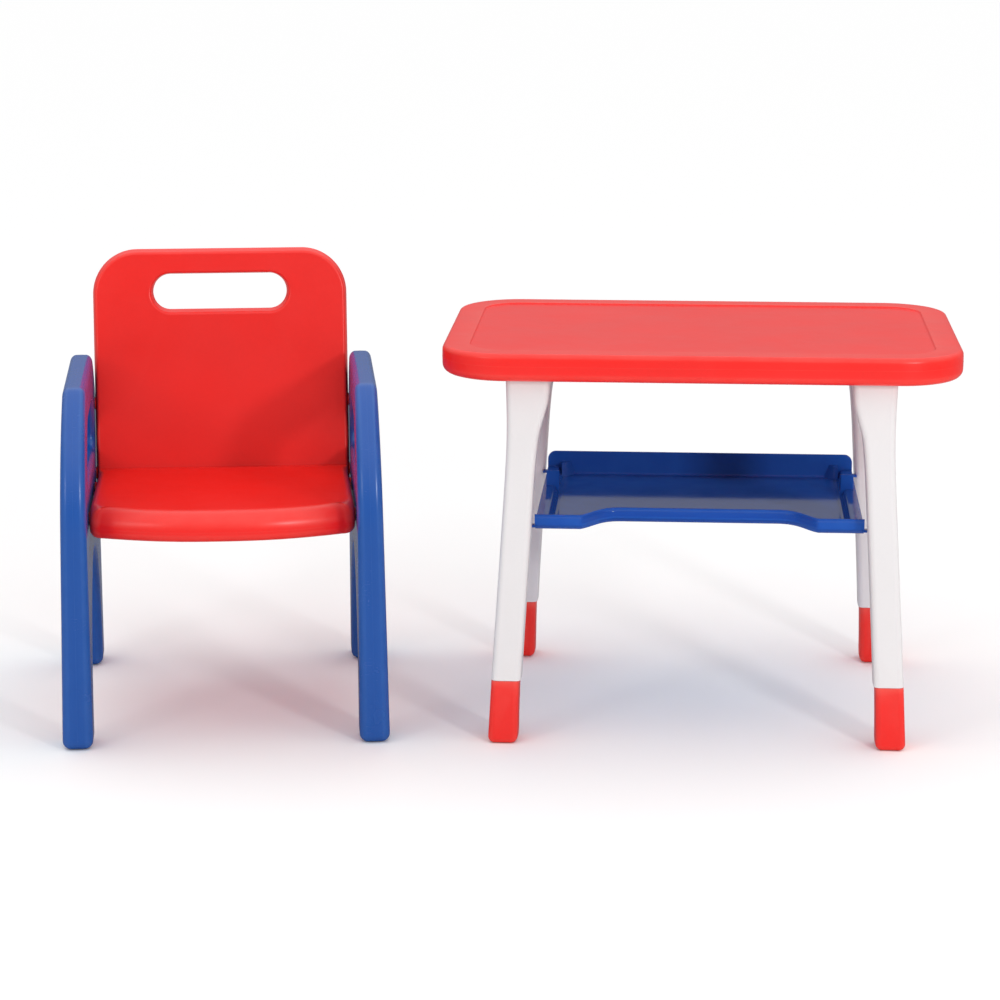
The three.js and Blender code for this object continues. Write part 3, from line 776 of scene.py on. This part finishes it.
cross_wall_mesh = bevelled_box(
    (FLOOR_HALF + 0.001, CROSS_WALL, TRAY_LEDGE - 0.010),
    (TRAY_HALF - 0.0035, CROSS_WALL + WALL, TRAY_TOP - 0.0005), 0.0011,
)


def gusset_level(z, lean):
    """The fillet in a rear corner at one height, drawn forward by its lean."""
    hollow = bezier(
        (FLOOR_HALF - 0.013 - lean, PAN_BACK), (FLOOR_HALF - 0.009 - lean, TRAY_BACK - 0.009),
        (FLOOR_HALF - 0.004, TRAY_BACK - 0.015 - lean), (FLOOR_HALF + 0.002, TRAY_BACK - 0.021 - lean), 8,
    )
    return [(x, y, z) for x, y in [(FLOOR_HALF + 0.002, PAN_BACK), *hollow]]


gusset_mesh = skin([gusset_level(TRAY_FLOOR - 0.001, 0.003), gusset_level(TRAY_LEDGE + 0.006, -0.004)])
cove_section = [(TRAY_BACK - WALL - x, TRAY_FLOOR + z) for x, z in arc(COVE, COVE, COVE, 180, 270, 6)]
cove_section += [(PAN_BACK, TRAY_FLOOR - 0.001), (PAN_BACK, TRAY_FLOOR + COVE)]
cove_mesh = swept([
    (lambda y, height, x=x: (x, y, height)) for x in (-FLOOR_HALF - 0.002, FLOOR_HALF + 0.002)
], cove_section)
wall_outline = (
    [(TRAY_HALF, TRAY_BOTTOM)]
    + arc(TRAY_HALF - TRAY_CORNER, TRAY_TOP - TRAY_CORNER, TRAY_CORNER, 0, 90, 12)
    + arc(-TRAY_HALF + TRAY_CORNER, TRAY_TOP - TRAY_CORNER, TRAY_CORNER, 90, 180, 12)
    + [(-TRAY_HALF, TRAY_BOTTOM)]
)
wall_mesh = swept([
    (lambda x, z, y=y: (x, y, z)) for y in (TRAY_BACK - WALL, TRAY_BACK)
], wall_outline)
tongue_mesh = bevelled_box(
    (TRAY_HALF - 0.002, 0, TONGUE_LOW), (TRAY_HALF + TONGUE_LONG, TONGUE_WIDE, TONGUE_HIGH), 0.0005
)
additions = [floor_pan, wall_mesh, cove_mesh]
for x in (-1, 1):
    additions += [mirrored(part, x, 1) for part in (ledge_mesh, cross_wall_mesh, gusset_mesh)]
    for y in (TRAY_FRONT + TONGUE_BACK, TRAY_BACK - TONGUE_WIDE):
        tongue = tongue_mesh.copy()
        tongue.transform(Matrix.Translation((0, y, 0)))
        additions.append(mirrored(tongue, x, 1))
tray_mesh = with_cutters(swept(lip_stations, lip_section()), additions, "UNION")
tray = put("tray", tray_mesh, table_stand, tray_plastic, 0.0006)
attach(tray, "table")
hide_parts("tray")

# ---------------------------------------------------------------- chair side frames
# Two blue blow-moulded frames. Each is a front leg, a rear leg, an arch between them and a flat
# armrest over an opening, in one hollow piece, thinner at the arm than at the floor, with a
# parting line round its edge. Bolt heads sit in round recesses on its outer face.

FRAME_INNER_FRONT, FRAME_INNER_REAR = 0.1542, 0.1584
FRAME_HALF, ARM_HEIGHT = 0.204, 0.410
FRAME_THICK_FLOOR, FRAME_THICK_ARM = 0.0355, 0.0268
SHOULDER_FROM = 0.250
ARM_FLAT, ARM_BEND, ARM_BEND_END = (0.098, ARM_HEIGHT), (0.112, ARM_HEIGHT), (0.124, 0.4023)
FRAME_EDGE, OPENING_EDGE = 0.010, 0.008
OPENING_LOW, OPENING_HIGH, OPENING_CORNER = 0.293, 0.360, 0.014
OPENING_LOW_HALF, OPENING_HIGH_HALF = 0.118, 0.062
FOOT_CORNER = 0.012
ARCH_HALF, ARCH_HEIGHT = 0.150, 0.190
# The second blue is the lighter tone on rounded edges: a little rubbing, and a painted highlight line
# along them.
BLUE, BLUE_EDGE_WEAR_AND_HIGHLIGHT = (0.008, 0.080, 0.36, 1), (0.10, 0.26, 0.62, 1)
SEAT_FRONT_TOP, SEAT_SIDE_FRONT, SEAT_SLOPE, SEAT_THICK = 0.276, -0.155, 0.038, 0.036
BACK_LOW, BACK_HIGH, BACK_THICK = 0.238, 0.530, 0.024
BACK_LOW_FRONT, BACK_HIGH_FRONT = 0.108, 0.160
BACK_LEAN = (BACK_HIGH_FRONT - BACK_LOW_FRONT) / (BACK_HIGH - BACK_LOW)
BOLT_HEAD, BOLT_HEAD_DEEP, BOLT_SHANK, BOLT_LENGTH, BOLT_SUNK = 0.0065, 0.004, 0.003, 0.044, 0.005
SEAT_BOLTS_Y, BACK_BOLTS_Z = (-0.121, 0.072), (0.258, 0.343)
PAST_FRAME = 0.21  # further out than any side frame reaches

blue_plastic = moulded_plastic(
    "blue_polyethylene", BLUE, BLUE_EDGE_WEAR_AND_HIGHLIGHT, roughness=0.25, grain_size=1100.0, grain_depth=0.5,
    bump=0.2, mottle=0.03, edge_amount=0.4, rub=0.03,
)
seat_bolts = [
    (y, SEAT_FRONT_TOP - (y - SEAT_SIDE_FRONT) * SEAT_SLOPE - SEAT_THICK / 2) for y in SEAT_BOLTS_Y
]
back_bolts = [
    (BACK_LOW_FRONT + (z - BACK_LOW) * BACK_LEAN + BACK_THICK / 2, z) for z in BACK_BOLTS_Z
]
BOLT_NAMES = ["seat_bolt_front", "seat_bolt_rear", "back_bolt_lower", "back_bolt_upper"]


def frame_inner(y):
    """How far out the inner face of a side frame is: a little less in front than behind."""
    share = (y + FRAME_HALF) / (2 * FRAME_HALF)
    return FRAME_INNER_FRONT + (FRAME_INNER_REAR - FRAME_INNER_FRONT) * share


def frame_thick(z):
    """How thick a side frame is at a height."""
    return FRAME_THICK_FLOOR + (FRAME_THICK_ARM - FRAME_THICK_FLOOR) * z / ARM_HEIGHT


def frame_outline():
    """The frame seen from the right of the chair, anticlockwise, front on the left."""
    shoulder = bezier((FRAME_HALF, SHOULDER_FROM), (FRAME_HALF, 0.330), (0.157, 0.381), ARM_BEND_END, 26)
    shoulder += bezier(ARM_BEND_END, ARM_BEND, ARM_BEND, ARM_FLAT, 8)[1:]
    arch = bezier(
        (0, ARCH_HEIGHT), (0.085, ARCH_HEIGHT),
        (ARCH_HALF, 0.110), (ARCH_HALF, FOOT_CORNER), 30,
    )
    foot = (
        arc(ARCH_HALF + FOOT_CORNER, FOOT_CORNER, FOOT_CORNER, 180, 270, 10)[1:]
        + arc(FRAME_HALF - FOOT_CORNER, FOOT_CORNER, FOOT_CORNER, 270, 360, 10)
    )
    rear = arch + foot + shoulder
    return rear + [(-y, z) for y, z in reversed(rear)][:-1]


def opening_outline():
    """The opening under the arm, seen from the same side: flat below, its ends curving in."""
    low, corner = OPENING_LOW, OPENING_CORNER
    rear = arc(OPENING_LOW_HALF - corner, low + corner, corner, 270, 360, 10)[:-1]
    rear += bezier(
        (OPENING_LOW_HALF, low + corner), (0.113, 0.330),
        (0.090, OPENING_HIGH), (OPENING_HIGH_HALF, OPENING_HIGH), 24,
    )
    return rear + [(-y, z) for y, z in reversed(rear)]


def panel_with_opening(outline, outline_profile, hole, hole_profile, placed):
    """A panel closed round its outline and round a hole, its two faces filled between them."""
    bm = bmesh.new()
    rims = []
    for line, profile, outward in ((outline, outline_profile, 1), (hole, hole_profile, -1)):
        levels = []
        for inset, through_it in profile:
            ring = drawn_in(line, inset * outward)
            levels.append([bm.verts.new(placed(along, high, through_it)) for along, high in ring])
        for lower, upper in zip(levels, levels[1:]):
            for i in range(len(lower)):
                j = (i + 1) % len(lower)
                bm.faces.new((lower[i], lower[j], upper[j], upper[i]))
        rims.append((levels[0], levels[-1]))
    for face in (0, 1):
        edges = []
        for rim in rims:
            verts = rim[face]
            edges += [bm.edges.get((verts[i], verts[(i + 1) % len(verts)])) for i in range(len(verts))]
        bmesh.ops.triangle_fill(bm, use_beauty=True, use_dissolve=False, edges=edges)
    bmesh.ops.recalc_face_normals(bm, faces=bm.faces[:])
    mesh = bpy.data.meshes.new("panel")
    bm.to_mesh(mesh)
    bm.free()
    return mesh


def in_frame(y, z, out):
    """Stands a point of a side frame's panel up, 0 being on its inner face."""
    return (frame_inner(y) + out * frame_thick(z) / FRAME_THICK_FLOOR, y, z)


def laid_along_x(y, z):
    """Lays what was turned about Z out along X instead, at a place on the chair's side."""
    return Matrix.Translation((0, y, z)) @ Matrix.Rotation(math.pi / 2, 4, "Y")


frame_panel = panel_with_opening(
    frame_outline(), edge_profile(FRAME_THICK_FLOOR, FRAME_EDGE, FRAME_EDGE),
    opening_outline(), edge_profile(FRAME_THICK_FLOOR, OPENING_EDGE, OPENING_EDGE), in_frame,
)
counterbores = []
for y, z in seat_bolts + back_bolts:
    seat_x = frame_inner(y) + frame_thick(z) - BOLT_SUNK - BOLT_HEAD_DEEP
    bore = turned([(BOLT_HEAD + 0.001, seat_x), (BOLT_HEAD + 0.001, PAST_FRAME)], 48)
    bore.transform(laid_along_x(y, z))
    counterbores.append(bore)
frame_mesh = with_cutters(frame_panel, counterbores)
for side, x in SIDES:
    side_frame = put(f"side_frame_{side}", mirrored(frame_mesh, x, 1), chair_stand, blue_plastic, 0.0008)
    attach(side_frame, "chair")
    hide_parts(f"side_frame_{side}")

# ---------------------------------------------------------------- seat
# A red blow-moulded pad of plastic with a bowed front that rolls over like a waterfall. Four
# round pegs on its side edges bear on the frames and take the bolts.

SEAT_HALF, SEAT_FRONT, SEAT_BACK = 0.1537, -0.190, 0.105
SEAT_FRONT_EDGE, SEAT_SIDE_EDGE, SEAT_BACK_EDGE, SEAT_LOWER_EDGE = 0.022, 0.008, 0.0015, 0.010
SEAT_EDGE_FADE = 0.035  # over which the rolled front edge turns into the side edge
SEAT_CORNER = 0.014
SEAT_DISH, DISH_HALF = 0.0025, 0.15
PEG, PEG_ROOT = 0.008, 0.012


def pegs(half, places):
    """Short round pegs on both edges of a piece, up to the frames."""
    made = []
    for x in (-1, 1):
        for y, z in places:
            end = frame_inner(y) - GAP
            peg = turned([(PEG, half - PEG_ROOT), (PEG, end - 0.0005), (PEG - 0.0005, end)], 40)
            peg.transform(laid_along_x(y, z))
            made.append(mirrored(peg, x, 1))
    return made


front_edge = bezier(
    (-SEAT_HALF + SEAT_CORNER, SEAT_SIDE_FRONT - 0.003), (-SEAT_HALF * 0.5, SEAT_FRONT + 0.002),
    (-SEAT_HALF * 0.25, SEAT_FRONT), (0, SEAT_FRONT), 24,
)
front_corner = bezier(
    (-SEAT_HALF, SEAT_SIDE_FRONT + SEAT_CORNER), (-SEAT_HALF, SEAT_SIDE_FRONT + 0.004),
    (-SEAT_HALF + 0.005, SEAT_SIDE_FRONT - 0.001), front_edge[0], 10,
)
side_length = SEAT_SIDE_FRONT + SEAT_CORNER - SEAT_BACK
side_edge = [(-SEAT_HALF, SEAT_BACK + side_length * i / 12) for i in range(12)]
left_half = side_edge + front_corner[:-1] + front_edge
seat_outline = left_half + [(-x, y) for x, y in reversed(left_half[:-1])]


def upper_edge(y):
    """How round the seat's upper edge is: most in front, least where it meets the backrest."""
    if y > SEAT_BACK - 0.004:
        return SEAT_BACK_EDGE
    share = min(1.0, max(0.0, (y - SEAT_SIDE_FRONT) / SEAT_EDGE_FADE))
    return SEAT_FRONT_EDGE + (SEAT_SIDE_EDGE - SEAT_FRONT_EDGE) * share


seat_profiles = [edge_profile(SEAT_THICK, SEAT_LOWER_EDGE, upper_edge(y)) for x, y in seat_outline]
seat_rings = []
for level in range(len(seat_profiles[0])):
    ring = drawn_in(seat_outline, [profile[level][0] for profile in seat_profiles])
    seat_rings.append([(x, y, profile[level][1]) for (x, y), profile in zip(ring, seat_profiles)])
seat_centre = Vector((0, (SEAT_BACK + SEAT_FRONT) / 2))
inner = [(x, y) for x, y, z in seat_rings[-1]]
for share in (0.97, 0.92, 0.85, 0.75, 0.62, 0.48, 0.34, 0.20, 0.08):  # rings for the dish
    seat_rings.append([(*(seat_centre + (Vector(p) - seat_centre) * share), SEAT_THICK) for p in inner])


def seat_surface(x, y, z):
    """Drops the seat to its height and slope, with a shallow dish in its top."""
    dip = max(0.0, 1 - (x / SEAT_HALF) ** 2) * max(0.0, 1 - ((y - seat_centre.y) / DISH_HALF) ** 2)
    over = SEAT_DISH * dip ** 1.5 if z > SEAT_THICK - 0.0005 else 0.0
    return (x, y, z - over + SEAT_FRONT_TOP - SEAT_THICK - (y - SEAT_SIDE_FRONT) * SEAT_SLOPE)


seat_rings = [[seat_surface(*p) for p in ring] for ring in seat_rings]
seat_mesh = with_cutters(skin(seat_rings), pegs(SEAT_HALF, seat_bolts), "UNION")
seat = put("seat", seat_mesh, chair_stand, red_plastic)
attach(seat, "chair")
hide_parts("seat")

# ---------------------------------------------------------------- backrest
# A red blow-moulded panel that leans back ten degrees, with round upper corners and a handle
# slot through it whose rim is softly rolled. It is held by pegs and bolts like the seat.

BACK_HALF = 0.1568
BACK_CORNER, BACK_LOW_CORNER = 0.055, 0.010
BACK_EDGE, BACK_DRAFT = 0.0035, math.radians(13)
SLOT_WIDTH, SLOT_HEIGHT, SLOT_DOWN = 0.165, 0.043, 0.052


def leaned(x, z, through_it):
    """Stands a point of the panel up, 0 being on its rear face."""
    return (x, BACK_LOW_FRONT + (z - BACK_LOW) * BACK_LEAN + BACK_THICK - through_it, z)


back_outline = (
    arc(BACK_HALF - BACK_CORNER, BACK_HIGH - BACK_CORNER, BACK_CORNER, 0, 90, 28)
    + arc(-BACK_HALF + BACK_CORNER, BACK_HIGH - BACK_CORNER, BACK_CORNER, 90, 180, 28)
    + arc(-BACK_HALF + BACK_LOW_CORNER, BACK_LOW + BACK_LOW_CORNER, BACK_LOW_CORNER, 180, 270, 10)
    + arc(BACK_HALF - BACK_LOW_CORNER, BACK_LOW + BACK_LOW_CORNER, BACK_LOW_CORNER, 270, 360, 10)
)
slot_end = (SLOT_WIDTH - SLOT_HEIGHT) / 2
slot_outline = (
    arc(slot_end, BACK_HIGH - SLOT_DOWN, SLOT_HEIGHT / 2, -90, 90, 28)
    + arc(-slot_end, BACK_HIGH - SLOT_DOWN, SLOT_HEIGHT / 2, 90, 270, 28)
)
back_profile = edge_profile(BACK_THICK, BACK_EDGE, BACK_EDGE, BACK_DRAFT)
back_panel = panel_with_opening(back_outline, back_profile, slot_outline, back_profile, leaned)
back_mesh = with_cutters(back_panel, pegs(BACK_HALF, back_bolts), "UNION")
backrest = put("backrest", back_mesh, chair_stand, red_plastic)
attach(backrest, "chair")
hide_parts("backrest")

# ---------------------------------------------------------------- chair bolts
# Eight zinc-plated steel bolts with domed heads and a hexagon socket, four a side, through the
# frames into the pegs of the seat and the backrest.

SOCKET, SOCKET_FLOOR = 0.0022, 0.0012
for side, x in SIDES:
    for name, (y, z) in zip(BOLT_NAMES, seat_bolts + back_bolts):
        under_head = frame_inner(y) + frame_thick(z) - BOLT_SUNK - BOLT_HEAD_DEEP + GAP
        bolt_mesh = turned([
            (BOLT_SHANK * 0.6, under_head - BOLT_LENGTH),
            (BOLT_SHANK, under_head - BOLT_LENGTH + 0.002),
            (BOLT_SHANK, under_head),
            (BOLT_HEAD - 0.0003, under_head),
            (BOLT_HEAD, under_head + 0.0004),
            (BOLT_HEAD, under_head + BOLT_HEAD_DEEP * 0.4),
            (BOLT_HEAD * 0.93, under_head + BOLT_HEAD_DEEP * 0.68),
            (BOLT_HEAD * 0.75, under_head + BOLT_HEAD_DEEP * 0.88),
            (BOLT_HEAD * 0.45, under_head + BOLT_HEAD_DEEP),
        ])
        key = turned([(SOCKET, under_head + SOCKET_FLOOR), (SOCKET, under_head + 0.01)], 6)
        bolt_mesh = with_cutters(bolt_mesh, [key])
        bolt_mesh.transform(laid_along_x(y, z))
        bolt = put(f"{name}_{side}", mirrored(bolt_mesh, x, 1), chair_stand, zinc)
        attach(bolt, "chair")
        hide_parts(f"{name}_{side}")
